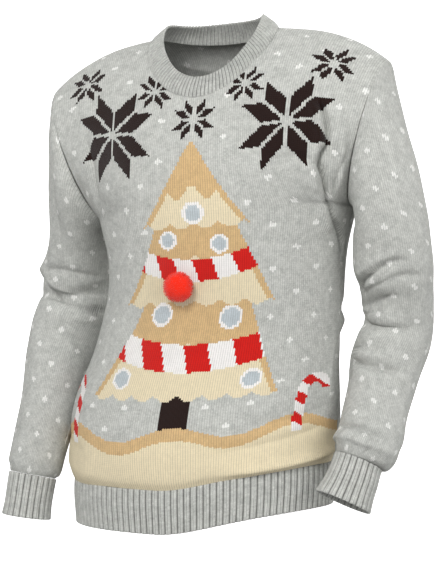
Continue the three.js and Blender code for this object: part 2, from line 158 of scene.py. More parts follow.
FRONT_FOLDS = [
    # from across, from up, to across, to up, depth, width, bow
    (168, 504, 182, 448, -15, 3, 4),
    (182, 448, 176, 420, -17, 3.2, -3),
    (176, 420, 190, 382, -18, 3.4, 2),
    (190, 382, 200, 352, -16, 3.6, -1),
    (200, 352, 224, 315, -12, 4.5, 4),
    (155, 506, 170, 445, 7, 8, 4),
    (165, 440, 175, 385, 8, 8, -6),
    (176, 385, 188, 340, 6, 9, -2),
    (192, 492, 204, 400, 8, 10, 6),
    (216, 458, 200, 392, -6, 5, -4),
    (120, 434, 176, 420, -5, 7, 5),
    (-170, 476, -173, 398, -6, 8, 2),
    (-172, 440, -130, 452, -3, 10, 4),
    (-173, 398, -120, 386, -3, 12, -4),
    (215, 200, 228, 90, 3, 12, -4),
    (84, 10, 244, 18, 9, 8, -4),
    (60, 40, 214, 58, -4, 11, -5),
    (96, 72, 226, 96, -3, 12, -6),
    (-225, 30, -120, 16, 3, 14, -3),
    (-228, 70, -150, 48, -3, 12, -5),
    (-60, 330, 40, 300, 1.5, 30, 8),
    (40, 250, 130, 196, -2.5, 22, -8),
    (-150, 250, -80, 210, -2.5, 20, 8),
]
BACK_FOLDS = [
    (-226, 252, -70, 214, -8, 7, -12),
    (-222, 214, -96, 176, -6, 7, -10),
    (-224, 234, -86, 196, 5, 10, -11),
    (204, 236, 76, 205, -8, 7, -10),
    (200, 200, 100, 168, -6, 7, -10),
    (202, 218, 90, 190, 5, 10, -10),
    (-70, 152, 66, 146, -5, 9, -10),
    (-40, 186, 90, 176, -4, 9, -8),
    (-198, 500, -152, 330, -9, 7, 10),
    (198, 500, 150, 330, -9, 7, -10),
    (-172, 490, -130, 340, 5, 14, 10),
    (174, 490, 130, 340, 5, 14, -10),
    (-150, 420, -60, 380, -4, 9, -10),
    (150, 430, 70, 384, -4, 9, 10),
    (-190, 42, -20, 24, 6, 11, -5),
    (30, 32, 196, 40, 6, 11, -5),
    (-130, 76, 10, 60, -5, 8, -6),
    (50, 84, 206, 94, -5, 8, -6),
    (-80, 588, 80, 588, -3, 9, -12),
    (-200, 120, -120, 100, -4, 9, 5),
]
LEFT_SLEEVE_FOLDS = [
    # from angle, from up, to angle, to up, depth, width in mm, bow in mm
    (152, 242, 104, 272, -11, 5, -3),
    (104, 272, 56, 294, -7, 5, -2),
    (138, 266, 70, 300, 4, 8, -3),
    (150, 236, 40, 279, -6.5, 5, 0),
    (146, 240, 60, 270, 4, 6, -1),
    (158, 220, 78, 236, -7, 5, 3),
    (152, 207, 104, 216, -4.5, 5, 2),
    (150, 196, 60, 200, 3, 14, 4),
    (150, 153, 84, 152, -4, 6, 0),
    (146, 145, 60, 150, 2.5, 7, 4),
    (150, 134, 44, 138, -9, 5, 7),
    (140, 120, 80, 122, 3, 8, 4),
    (140, 34, 50, 33, -8, 5, -4),
    (160, 20, 20, 22, 5, 7, 2),
    (140, 42, 50, 44, 3, 8, -3),
    (110, 16, 24, 20, -3, 6, 3),
    (150, 12, 128, 32, -3, 4, 2),
    (108, 9, 92, 27, -2.5, 4, -2),
    (66, 8, 52, 24, -2.5, 4, 2),
    (120, 44, 84, 58, -3, 5, 2),
    (170, 420, 150, 330, -4, 12, 4),
    (40, 330, 20, 446, -2.5, 16, 5),
    (-40, 236, -140, 250, -3.5, 12, -6),
    (-60, 206, -150, 190, -3, 11, 6),
    (-90, 310, -70, 420, -4, 16, 6),
    (-60, 130, -150, 118, -3, 11, 5),
    (-20, 40, -130, 34, -3.5, 9, -4),
]
RIGHT_SLEEVE_FOLDS = [
    (34, 268, 76, 259, -5, 5, -3),
    (70, 260, 156, 252, -10, 5, -6),
    (50, 286, 146, 264, 3.5, 9, -5),
    (60, 240, 150, 232, 3, 10, -6),
    (50, 298, 152, 302, -5, 5, 3),
    (36, 284, 82, 256, -4, 5, -3),
    (-50, 302, 40, 300, 6, 12, 0),
    (-30, 284, 44, 284, -3, 5, 3),
    (-6, 352, -4, 470, -4, 18, 0),
    (80, 200, 160, 194, -4, 8, 4),
    (20, 262, 70, 246, -2, 8, 4),
    (10, 292, -60, 300, -4, 10, 5),
    (0, 274, -70, 270, -3.5, 10, -4),
    (90, 330, 60, 470, -4, 13, 6),
    (60, 320, 34, 452, 3, 15, 5),
    (10, 330, 6, 460, -3, 14, 4),
    (-80, 330, -64, 440, -4, 16, 6),
    (96, 47, 164, 35, -3, 8, -4),
    (60, 92, 150, 80, -2.5, 11, 6),
    (-30, 150, -120, 130, -3, 12, -6),
    (-20, 40, -130, 34, -3.5, 9, -4),
]


# ---------------------------------------------------------------------------------------------
# Settings a user would change


def length_setting(name, description, mm):
    return bpy.props.FloatProperty(name=name, description=description, default=mm * MM, unit="LENGTH")


def angle_setting(name, description, degrees):
    return bpy.props.FloatProperty(
        name=name, description=description, default=math.radians(degrees), subtype="ANGLE")


class SweaterSizes(bpy.types.PropertyGroup):
    wale: length_setting("Stitch width", "Width of one knitted stitch", 3.2)
    course: length_setting("Stitch height", "Height of one knitted stitch", 2.55)
    rib_pitch: length_setting("Rib spacing", "From one rib to the next on the hem and cuffs", 9.2)
    neck_rib_pitch: length_setting("Neck rib spacing", "From one rib to the next on the neckband", 5.6)
    rib_relief: length_setting("Rib relief", "How far a rib stands over the furrow beside it", 2.8)
    dot_column: length_setting("Dot column spacing", "From one column of snow dots to the next", 30)
    body_dot_row: length_setting("Dot spacing on the body", "From one snow dot to the next in its column", 60)
    sleeve_dot_row: length_setting(
        "Dot spacing on the sleeves", "From one snow dot to the next in its column", 51)
    camera_azimuth: angle_setting(
        "Camera azimuth", "How far round to the wearer's left the camera stands", 20)
    camera_elevation: angle_setting("Camera elevation", "How far the camera looks down", 2)
    camera_distance: length_setting(
        "Camera distance", "From the camera to the middle of the sweater", 2800)


def linear(code):
    """An sRGB hex colour as linear red, green and blue."""
    channels = [int(code[i:i + 2], 16) / 255 for i in (1, 3, 5)]
    return tuple(c / 12.92 if c <= 0.04045 else ((c + 0.055) / 1.055) ** 2.4 for c in channels)


def yarn_colour(name, code):
    return bpy.props.FloatVectorProperty(
        name=name, description=f"Colour of the {name.lower()}", default=linear(code), subtype="COLOR",
        size=3, min=0, max=1)


class SweaterYarns(bpy.types.PropertyGroup):
    grey: yarn_colour("Grey marl", "#b9bab5")
    snow: yarn_colour("Snow white", "#e6e3e0")
    tan: yarn_colour("Tan", "#c9aa7c")
    cream: yarn_colour("Cream", "#dccfb0")
    brown: yarn_colour("Dark brown", "#1e0f0b")
    red: yarn_colour("Red", "#c61812")
    ice: yarn_colour("Ice blue grey", "#b4bcc0")
    dot: yarn_colour("Snow dots", "#dededa")
    felt: yarn_colour("Red felt", "#ee2606")


# Order of the yarns in the picture's chart, and how strongly each is marled.
YARNS = ["grey", "snow", "tan", "cream", "brown", "red", "ice", "dot"]
MARL = [1.0, 0.25, 0.55, 0.3, 0.5, 0.2, 0.5, 0.5]
GREY, SNOW, TAN, CREAM, BROWN, RED, ICE, DOT = range(len(YARNS))


def sizes():
    return bpy.context.scene.sweater_sizes


def yarn_table():
    yarns = bpy.context.scene.sweater_yarns
    return np.array([(*getattr(yarns, name), marl) for name, marl in zip(YARNS, MARL)])


# ---------------------------------------------------------------------------------------------
# Smooth surfaces


def ease(x, low, high):
    t = np.clip((x - low) / (high - low), 0, 1)
    return t * t * (3 - 2 * t)


def unit(v):
    return v / np.maximum(np.linalg.norm(v, axis=-1, keepdims=True), 1e-9)


def run_length(points):
    """How far each point of a line is from its first, along it."""
    return np.concatenate([[0], np.cumsum(np.linalg.norm(np.diff(points, axis=0), axis=1))])


def along(rows, t, corners=None):
    """A smooth curve through rows of vectors at places t. corners says, for each row and column,
    whether the curve has a corner there."""
    last = len(rows) - 1
    step = np.diff(rows, axis=0)
    leave = np.concatenate([step, step[-1:]])
    arrive = np.concatenate([step[:1], step])
    smooth = (leave + arrive) / 2
    sharp = np.zeros(rows.shape[:2], bool)
    sharp[[0, last]] = True
    if corners is not None:
        sharp |= corners
    leave = np.where(sharp[..., None], leave, smooth)
    arrive = np.where(sharp[..., None], arrive, smooth)
    i = np.clip(np.floor(t).astype(int), 0, last - 1)
    u = (t - i)[:, None, None]
    return (
        rows[i] * (2 * u**3 - 3 * u**2 + 1)
        + leave[i] * (u**3 - 2 * u**2 + u)
        + rows[i + 1] * (3 * u**2 - 2 * u**3)
        + arrive[i + 1] * (u**3 - u**2)
    )


def bezier(handles, s):
    s = s[:, None]
    r = 1 - s
    a, b, c, d = (handles[:, k] for k in range(4))
    return a * r**3 + b * 3 * r * r * s + c * 3 * r * s * s + d * s**3


def armhole(angle, way):
    a = math.radians(angle)
    depth = ARMHOLE["front"] if way < 0 else ARMHOLE["back"]
    return np.array([
        ARMHOLE["x"] + ARMHOLE["lean_x"] * math.cos(a),
        SIDE_Y + way * depth * math.sin(a),
        ARMHOLE["z"] + ARMHOLE["half_height"] * math.cos(a),
    ])


def trunk_section(row, way):
    z, half, front, back, full = row
    middle = -front if way < 0 else back
    return [
        (0, middle, z),
        (full * half, middle, z),
        (half, SIDE_Y + full * (middle - SIDE_Y), z),
        (half, SIDE_Y, z),
    ]


def yoke_section(row, way):
    angle, front_y, front_z, back_y, back_z, hold, in_x, in_y, in_z, reach = row
    middle = np.array([0, front_y, front_z] if way < 0 else [0, back_y, back_z])
    edge = armhole(angle, way)
    inward = np.array([in_x, -way * in_y, in_z])
    return [middle, middle + [hold, 0, 0], edge + inward * reach, edge]


BODY = np.array(
    [trunk_section(row, -1) for row in TRUNK]
    + [yoke_section(row, -1) for row in YOKE[1:]]
    + [yoke_section(row, 1) for row in YOKE[:-1][::-1]]
    + [trunk_section(row, 1) for row in TRUNK[:-1][::-1]],
    dtype=float,
)
BODY_CORNERS = np.zeros(BODY.shape[:2], bool)
BODY_CORNERS[[SPANS, BACK_UNDERARM], 3] = True


def body(place, share):
    """Points of the body's left half, before the stance. place counts sections from the front hem over
    the shoulder to the back hem, and share goes from the centre line to the side."""
    place, share = np.broadcast_arrays(np.asarray(place, float), np.asarray(share, float))
    points = bezier(along(BODY, place.ravel(), BODY_CORNERS), share.ravel())
    return points.reshape(*place.shape, 3)


def stance(p):
    """Moves points of the body as the wearer stands."""
    x, y, z = p[..., 0], p[..., 1], p[..., 2]
    bearing = np.degrees(np.arctan2(x, -y))
    lifted = ease(bearing, LIFT["start"], LIFT["full"]) * (1 - ease(bearing, LIFT["ease"], LIFT["end"]))
    a = np.radians(TILT["deg"]) * (1 - ease(-z, -TILT["from_z"], -TILT["to_z"]))
    tilted_x = x * np.cos(a) - z * np.sin(a)
    tilted_z = x * np.sin(a) + z * np.cos(a)
    return np.stack([
        tilted_x + SWAY["x"] * ease(-z, -SWAY["from_z"], -SWAY["to_z"]),
        y,
        tilted_z + LIFT["height"] * lifted * ease(-z, -LIFT["from_z"], -LIFT["to_z"]),
    ], axis=-1)


def in_neck(p):
    across = p[..., 0] / NECK["half_width"]
    deep = (p[..., 1] - NECK["centre_y"]) / NECK["half_depth"]
    return across**2 + deep**2 < 1


HALVINGS = 36


def turning(low, high, test):
    """The values between low and high where test turns from true to false."""
    low, high = np.broadcast_arrays(np.asarray(low, float), np.asarray(high, float))
    for _ in range(HALVINGS):
        middle = (low + high) / 2
        yes = test(middle)
        low, high = np.where(yes, middle, low), np.where(yes, high, middle)
    return (low + high) / 2


FRONT_NECK = float(turning(SPANS, SHOULDER, lambda t: ~in_neck(body(t, 0.0))))
BACK_NECK = float(turning(SHOULDER, BACK_UNDERARM, lambda t: in_neck(body(t, 0.0))))


def neck_start(place):
    """The share at which each section begins: 0, or the edge of the neck hole."""
    inside = (place > FRONT_NECK + 1e-6) & (place < BACK_NECK - 1e-6)
    return np.where(inside, turning(np.zeros_like(place), 1.0, lambda s: in_neck(body(place, s))), 0)


# Shares of a section, to find which way a sleeve heads at a ring, and after its first one.
RING_STEP = 0.05
AFTER_RING = 0.2


def sleeve_ring(sections, t, angle):
    """Points of the left sleeve's rings at places t and angles, from -180 to 180, with front above 0."""
    rows = np.stack([sections[:, :3], sections[:, 3:]], axis=1)
    last = len(rows) - 1
    shape = t.shape
    flat = t.ravel()
    here = along(rows, flat)
    step = RING_STEP
    ahead = along(rows, np.minimum(flat + step, last))[:, 0] - along(rows, np.maximum(flat - step, 0))[:, 0]
    ahead = unit(ahead)
    outer = unit(np.array([1.0, 0, 0]) - ahead * ahead[:, :1])
    rear = np.array([0, 1.0, 0]) - ahead * ahead[:, 1:2]
    rear = unit(rear - outer * np.sum(rear * outer, axis=1, keepdims=True))
    a = np.radians(np.abs(angle)).ravel()
    way = np.where(angle.ravel() >= 0, -1, 1)
    crease = here[:, 1, 2] * np.maximum(0, np.cos(a - math.radians(CREASE_ANGLE))) ** 2 * (way < 0)
    across = (here[:, 1, 0] - crease) * np.cos(a)
    deep = (here[:, 1, 1] - crease) * np.sin(a) * way
    return (here[:, 0] + outer * across[:, None] + rear * deep[:, None]).reshape(*shape, 3)


SPAN_TABLE = np.linspace(0, len(YOKE) - 1, 400)
ANGLE_TABLE = along(YOKE[:, None, :1], SPAN_TABLE)[:, 0, 0]


def sleeve_cap(sections, share, angle, side):
    """Points of the sleeve between the armhole seam (share 0) and its first ring (share 1)."""
    span = np.interp(np.abs(angle).ravel(), ANGLE_TABLE[::-1], SPAN_TABLE[::-1])
    front = angle.ravel() >= 0
    place = np.where(front, SPANS + span, BACK_UNDERARM - span)
    seam = body(place, 1.0)
    mirror = [side, 1, 1]
    seam = stance(seam * mirror) * mirror
    ring = sleeve_ring(sections, np.zeros_like(angle), angle).reshape(-1, 3)
    after = sleeve_ring(sections, np.full_like(angle, AFTER_RING), angle).reshape(-1, 3)
    out = unit(along(CAP[:, None, 1:], span)[:, 0])
    out[:, 1] *= np.where(front, 1, -1)
    reach = CAP_REACH * np.linalg.norm(seam - ring, axis=1, keepdims=True)
    handles = np.stack([seam, seam + out * reach, ring - unit(after - ring) * reach, ring], axis=1)
    return bezier(handles, share.ravel()).reshape(*angle.shape, 3)


# ---------------------------------------------------------------------------------------------
# Knitted grids


def grid_normals(points, closed=False):
    """Unit normals of a grid of points, by differences along its rows and columns."""
    down = np.gradient(points, axis=0)
    if closed:
        wrapped = np.concatenate([points[:, -2:-1], points, points[:, 1:2]], axis=1)
        across = (wrapped[:, 2:] - wrapped[:, :-2]) / 2
    else:
        across = np.gradient(points, axis=1)
    return unit(np.cross(across, down))


def smoothed(field, times, closed=False):
    """Averages a grid of vectors with its neighbours."""
    for _ in range(times):
        padded = np.pad(field, ((1, 1), (0, 0), (0, 0)), mode="edge")
        field = (padded[:-2] + 2 * padded[1:-1] + padded[2:]) / 4
        if closed:
            wide = np.concatenate([field[:, -2:-1], field, field[:, 1:2]], axis=1)
        else:
            wide = np.pad(field, ((0, 0), (1, 1), (0, 0)), mode="edge")
        field = (wide[:, :-2] + 2 * wide[:, 1:-1] + wide[:, 2:]) / 4
    return field


# Shares of a fold's length at which it begins, is at its full height, begins to fade and is gone.
FOLD_ENDS = (-0.2, 0.22, 0.78, 1.2)
FOLD_FLANK = 1.35


def fold_height(across, up, folds, scale=1.0):
    """Height of the folds at points of the flat cloth. scale turns the first coordinate to mm."""
    total = np.zeros_like(up)
    begins, full, fades, gone = FOLD_ENDS
    for x0, y0, x1, y1, depth, width, bow in folds:
        ax, bx = x0 * scale, x1 * scale
        px = across * scale
        length = math.hypot(bx - ax, y1 - y0)
        ux, uy = (bx - ax) / length, (y1 - y0) / length
        s = ((px - ax) * ux + (up - y0) * uy) / length
        t = np.clip(s, 0, 1)
        off = (px - ax) * -uy + (up - y0) * ux - bow * 4 * t * (1 - t)
        fade = ease(s, begins, full) * (1 - ease(s, fades, gone))
        total += depth * fade * np.exp(-((np.abs(off) / width) ** FOLD_FLANK))
    return total


def lengths(points):
    """How far each point of a grid is across its row, and up its column square to the rows."""
    across = np.linalg.norm(np.diff(points, axis=1), axis=2)
    across = np.concatenate([np.zeros((len(points), 1)), np.cumsum(across, axis=1)], axis=1)
    step = np.diff(points, axis=0)
    tangent = unit(np.gradient(points, axis=1))
    tangent = unit(tangent[1:] + tangent[:-1])
    square = step - tangent * np.sum(step * tangent, axis=2, keepdims=True)
    up = np.linalg.norm(square, axis=2)
    up = np.concatenate([np.zeros((1, points.shape[1])), np.cumsum(up, axis=0)])
    return across, up


def knit_mesh(name, points, columns, rows, yarn, keep=None):
    """A mesh of one quad for each leg of each stitch. columns and rows are the stitch coordinates of the
    points, and yarn is the colour and marl of each quad."""
    high, wide = points.shape[:2]
    index = np.arange(high * wide).reshape(high, wide)
    quads = np.stack([index[:-1, :-1], index[:-1, 1:], index[1:, 1:], index[1:, :-1]], axis=-1)
    keep = np.ones((high - 1, wide - 1), bool) if keep is None else keep
    quads, yarn = quads[keep], yarn[keep]
    mesh = bpy.data.meshes.new(name)
    mesh.from_pydata((points.reshape(-1, 3) * MM).tolist(), [], quads.tolist())
    corners = quads.ravel()
    stitch = np.stack([columns.ravel()[corners], rows.ravel()[corners]], axis=1)
    mesh.uv_layers.new(name="stitches").data.foreach_set("uv", stitch.ravel())
    layer = mesh.color_attributes.new("yarn", "FLOAT_COLOR", "CORNER")
    layer.data.foreach_set("color", np.repeat(yarn, 4, axis=0).ravel())
    mesh.polygons.foreach_set("use_smooth", np.ones(len(quads), bool))
    mesh.update()
    piece = bpy.data.objects.new(name, mesh)
    bpy.context.scene.collection.objects.link(piece)
    return piece


def change_mesh(piece, change):
    """Lets the function change work on a piece's mesh."""
    work = bmesh.new()
    work.from_mesh(piece.data)
    change(work)
    work.to_mesh(piece.data)
    work.free()


def tidy_mesh(piece, distance=0.02 * MM):
    """Joins points that lie together and drops faces without area."""
    def tidy(work):
        bmesh.ops.remove_doubles(work, verts=work.verts, dist=distance)
        bmesh.ops.dissolve_degenerate(work, edges=work.edges, dist=distance / 2)
        loose = [v for v in work.verts if not v.link_faces]
        bmesh.ops.delete(work, geom=loose, context="VERTS")

    change_mesh(piece, tidy)


# ---------------------------------------------------------------------------------------------
# The picture. x is across from the centre line and y is up from the hem seam, in mm.

TREE_TIERS = [
    # bottom, top, half width at the bottom, half width at the top
    (118, 286, 142, 62),
    (246, 392, 112, 42),
    (350, 466, 82, 3),
]
SNOW_SHARE = 0.42
SCALLOP = 34
TRUNK_LOG = {"half": 20, "top": 140, "foot": 66}
HILL = {"top": 74, "swell": 11, "wave": 170, "edge": 17}
GARLANDS = [
    # height at the middle, rise at the ends, half length, half thickness, length of a stripe
    (296, 26, 104, 15, 27),
    (178, 34, 142, 19, 33),
]
BAUBLES = [
    # x, y, radius
    (-46, 238, 12), (52, 232, 12), (0, 372, 11), (-92, 150, 11), (96, 148, 11), (34, 330, 9), (-38, 338, 9),
]
STARS = [
    # x, y, radius
    (-122, 482, 62), (126, 482, 62), (-176, 566, 30), (180, 566, 30),
    (-62, 546, 26), (66, 546, 26), (0, 500, 30),
]
CANES = [
    # x of the stem, foot, top of the stem, radius of the crook, which way it bends
    (-172, 56, 124, 19, -1),
    (172, 56, 124, 19, 1),
]
CANE_HALF = 8
CANE_STRIPE = 17
CANE_SLANT = 0.6
GARLAND_SLANT = 0.35
STAR_GAP = {"share": 0.035, "least": 1.7}
TIER_SHAPE = {"bow": 0.85, "droop": 8, "foot": 10}
SNOW_EDGE = {"wave": 9, "stretch": 1.3, "inset": 9}
BAUBLE_EDGE = 4
DOT_CLEAR = 9


def picture(x, y):
    """The yarn of each stitch of the winter picture."""
    yarn = np.full(x.shape, GREY)
    for sx, sy, radius in STARS:
        dx, dy = np.abs(x - sx), np.abs(y - sy)
        far, near = np.maximum(dx, dy), np.minimum(dx, dy)
        gap = max(STAR_GAP["least"], STAR_GAP["share"] * radius)
        petal = (near > gap) & (near < radius / 2) & (far > near + 1.5 * gap) & (far < near + radius / 2)
        yarn[petal] = BROWN
    log = (np.abs(x) < TRUNK_LOG["half"]) & (y < TRUNK_LOG["top"]) & (y > TRUNK_LOG["foot"])
    yarn[log] = BROWN
    for bottom, top, wide, narrow in TREE_TIERS:
        t = (y - bottom) / (top - bottom)
        half = wide + (narrow - wide) * np.clip(t, 0, 1) ** TIER_SHAPE["bow"]
        droop = TIER_SHAPE["droop"] * np.abs(np.sin(math.pi * x / SCALLOP))
        tier = (np.abs(x) < half) & (y > bottom + TIER_SHAPE["foot"] - droop) & (y < top)
        yarn[tier] = TAN
        snow_wave = SNOW_EDGE["wave"] * np.cos(math.tau * x / (SCALLOP * SNOW_EDGE["stretch"]))
        snow_top = bottom + (top - bottom) * SNOW_SHARE + snow_wave
        yarn[tier & (y < snow_top) & (np.abs(x) < half - SNOW_EDGE["inset"])] = CREAM
    for bx, by, radius in BAUBLES:
        away = np.hypot(x - bx, y - by)
        yarn[away < radius + BAUBLE_EDGE] = SNOW
        yarn[away < radius] = ICE
    for middle, rise, half, thick, stripe in GARLANDS:
        centre = middle + rise * (x / half) ** 2
        on = (np.abs(x) < half) & (np.abs(y - centre) < thick) & (yarn != GREY)
        band = np.floor((x + GARLAND_SLANT * (y - centre)) / stripe) % 2 < 1
        yarn[on & band] = RED
        yarn[on & ~band] = SNOW
    top = HILL["top"] + HILL["swell"] * np.cos(math.tau * x / HILL["wave"])
    yarn[y < top] = TAN
    yarn[y < top - HILL["edge"]] = CREAM
    for cx, foot, stem, radius, bend in CANES:
        bar = (np.abs(x - cx) < CANE_HALF) & (y > foot) & (y < stem)
        hook = (np.abs(np.hypot(x - cx - bend * radius, y - stem) - radius) < CANE_HALF) & (y >= stem)
        stripe = np.floor((y + CANE_SLANT * (x - cx)) / CANE_STRIPE) % 2 < 1
        yarn[(bar | hook) & stripe] = RED
        yarn[(bar | hook) & ~stripe] = SNOW
    return yarn


def snow_dots(x, y, row, design=None, phase=(0.0, 0.0)):
    """True on the stitches of the snow dots, in staggered columns. They keep clear of a design."""
    column, row = sizes().dot_column / MM, row / MM
    c = np.round((x - phase[0]) / column)
    shift = np.where(c % 2 == 0, 0, 0.5) * row
    r = np.round((y - phase[1] - shift) / row)
    wale, course = sizes().wale / MM, sizes().course / MM
    cx = (np.round((c * column + phase[0]) / wale) + 0.5) * wale
    cy = (np.round((r * row + shift + phase[1]) / course) + 0.5) * course
    dx, dy = np.abs(x - cx) / wale, np.abs(y - cy) / course
    dot = ((dx < 0.5) & (dy < 1.6)) | ((dx < 1.5) & (dy < 0.9))
    if design is not None:
        clear = np.ones(x.shape, bool)
        for dx, dy in ((0, 0), (DOT_CLEAR, 0), (-DOT_CLEAR, 0), (0, DOT_CLEAR), (0, -DOT_CLEAR)):
            clear &= design(cx + dx, cy + dy) == GREY
        dot &= clear
    return dot


# ---------------------------------------------------------------------------------------------
# Materials


def add_node(tree, kind, settings=None, links=None):
    """Adds a node. settings are attributes or socket values, and links join its inputs to outputs."""
    node = tree.nodes.new(kind)
    for key, value in (settings or {}).items():
        if isinstance(key, str) and hasattr(node, key):
            setattr(node, key, value)
        else:
            node.inputs[key].default_value = value
    for key, output in (links or {}).items():
        tree.links.new(output, node.inputs[key])
    return node


def calc(tree, operation, *values):
    """A chain's next number: values are outputs or constants."""
    node = add_node(tree, "ShaderNodeMath", {"operation": operation})
    for i, value in enumerate(values):
        if isinstance(value, (int, float)):
            node.inputs[i].default_value = value
        else:
            tree.links.new(value, node.inputs[i])
    return node.outputs[0]


def new_material(name):
    material = bpy.data.materials.new(name)
    material.use_nodes = True
    tree = material.node_tree
    tree.nodes.clear()
    return material, tree


def knit_material(name, relief, painted_stitch_shade):
    """Acrylic knitting yarn: matt, slightly furry, with painted light on each leg of each stitch.
    relief is the height of a stitch in mm, and the last setting is how dark the painted shade in the gaps
    between stitches is, and how light the painted highlight on each leg."""
    material, tree = new_material(name)
    yarn = add_node(tree, "ShaderNodeAttribute", {"attribute_name": "yarn"})
    stitches = add_node(tree, "ShaderNodeUVMap", {"uv_map": "stitches"})
    split = add_node(tree, "ShaderNodeSeparateXYZ", links={0: stitches.outputs[0]})
    u, v = split.outputs[0], split.outputs[1]
    from_middle = calc(tree, "ABSOLUTE", calc(tree, "SUBTRACT", calc(tree, "FRACT", u), 0.5))
    leg = calc(tree, "MULTIPLY", from_middle, 2.0)
    round_leg = calc(tree, "SINE", calc(tree, "MULTIPLY", leg, math.pi))
    slanted = calc(tree, "SUBTRACT", v, from_middle)
    row = calc(tree, "FRACT", slanted)
    round_row = calc(tree, "SINE", calc(tree, "MULTIPLY", row, math.pi))
    bumpy = calc(tree, "MULTIPLY", round_leg, calc(tree, "POWER", round_row, 0.6))
    height = calc(tree, "ADD", calc(tree, "MULTIPLY", bumpy, 0.5), calc(tree, "MULTIPLY", round_leg, 0.5))

    where = add_node(tree, "ShaderNodeTexCoord").outputs["Object"]
    # Marl yarn is spun from light and dark fibres, so it is flecked every millimetre or two.
    flecks = add_node(tree, "ShaderNodeTexNoise", {"Scale": 620.0, "Detail": 3.0, "Roughness": 0.65},
                      {"Vector": where})
    clouds = add_node(tree, "ShaderNodeTexNoise", {"Scale": 95.0, "Detail": 2.0}, {"Vector": where})
    fleck = calc(tree, "MULTIPLY", calc(tree, "SUBTRACT", flecks.outputs[0], 0.5), 0.7)
    cloud = calc(tree, "MULTIPLY", calc(tree, "SUBTRACT", clouds.outputs[0], 0.5), 0.5)
    cell = add_node(tree, "ShaderNodeCombineXYZ", links={
        0: calc(tree, "FLOOR", u), 1: calc(tree, "FLOOR", slanted)})
    random = add_node(tree, "ShaderNodeTexWhiteNoise", {"noise_dimensions": "2D"},
                      {"Vector": cell.outputs[0]})
    stitch = calc(tree, "MULTIPLY", calc(tree, "SUBTRACT", random.outputs[0], 0.5), 0.16)
    change = calc(tree, "ADD", calc(tree, "ADD", fleck, cloud), stitch)
    marled = calc(tree, "MULTIPLY_ADD", change, yarn.outputs["Alpha"], 1.0)
    # Painted light and shade, multiplied into the yarn's colour: the furrow between two wales is painted dark
    #     # as a fine upright line, and the raised middle of each leg is painted light.
    furrow = calc(tree, "POWER", leg, 3.0)
    lit = calc(tree, "SUBTRACT", calc(tree, "MULTIPLY", height, 0.55), furrow)
    shade = calc(tree, "MULTIPLY_ADD", lit, painted_stitch_shade, 1.0 - painted_stitch_shade * 0.1)
    level = calc(tree, "MULTIPLY", marled, shade)
    colour = add_node(tree, "ShaderNodeVectorMath", {"operation": "SCALE"}, {
        0: yarn.outputs["Color"], "Scale": level})
    fuzz = add_node(tree, "ShaderNodeTexNoise", {"Scale": 1900.0, "Detail": 2.0}, {"Vector": where})
    bump_height = calc(tree, "ADD", height, calc(tree, "MULTIPLY", fuzz.outputs[0], 0.35))
    bump = add_node(tree, "ShaderNodeBump", {"Strength": 0.85, "Distance": relief * MM},
                    {"Height": bump_height})
    surface = add_node(tree, "ShaderNodeBsdfPrincipled", {
        "Roughness": 0.95, "IOR": 1.48, "Specular IOR Level": 0.15, "Sheen Weight": 0.08,
        "Sheen Roughness": 0.45,
    }, {"Base Color": colour.outputs[0], "Normal": bump.outputs[0]})
    add_node(tree, "ShaderNodeOutputMaterial", links={"Surface": surface.outputs[0]})
    return material


def felt_material():
    """Felted wool: matt, with a soft bloom of loose fibres."""
    material, tree = new_material("felted wool")
    where = add_node(tree, "ShaderNodeTexCoord").outputs["Object"]
    fibres = add_node(tree, "ShaderNodeTexNoise", {"Scale": 900.0, "Detail": 4.0, "Distortion": 1.5},
                      {"Vector": where})
    felt = bpy.context.scene.sweater_yarns.felt
    dark = tuple(c * 0.72 for c in felt)
    ramp = add_node(tree, "ShaderNodeMix", {"data_type": "RGBA"}, {0: fibres.outputs[0]})
    ramp.inputs[6].default_value = (*dark, 1)
    ramp.inputs[7].default_value = (*felt, 1)
    bump = add_node(tree, "ShaderNodeBump", {"Strength": 0.7, "Distance": 0.5 * MM},
                    {"Height": fibres.outputs[0]})
    surface = add_node(tree, "ShaderNodeBsdfPrincipled", {
        "Roughness": 1.0, "IOR": 1.5, "Specular IOR Level": 0.15, "Sheen Weight": 0.35,
        "Sheen Roughness": 0.5,
    }, {"Base Color": ramp.outputs[2], "Normal": bump.outputs[0]})
    add_node(tree, "ShaderNodeOutputMaterial", links={"Surface": surface.outputs[0]})
    return material


def shared_material(name, make):
    return bpy.data.materials.get(name) or make()


def jersey():
    name = "acrylic marl jersey"
    return shared_material(name, lambda: knit_material(name, relief=0.8, painted_stitch_shade=0.33))


def ribbing():
    name = "acrylic marl ribbing"
    return shared_material(name, lambda: knit_material(name, relief=0.6, painted_stitch_shade=0.36))


def place_piece(piece, material, node):
    piece.data.materials.append(material)
    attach(piece, "root")
    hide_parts(*node)


# ---------------------------------------------------------------------------------------------
# Front and back


ROUGH_ROWS = 600
ROUGH_COLUMNS = 40


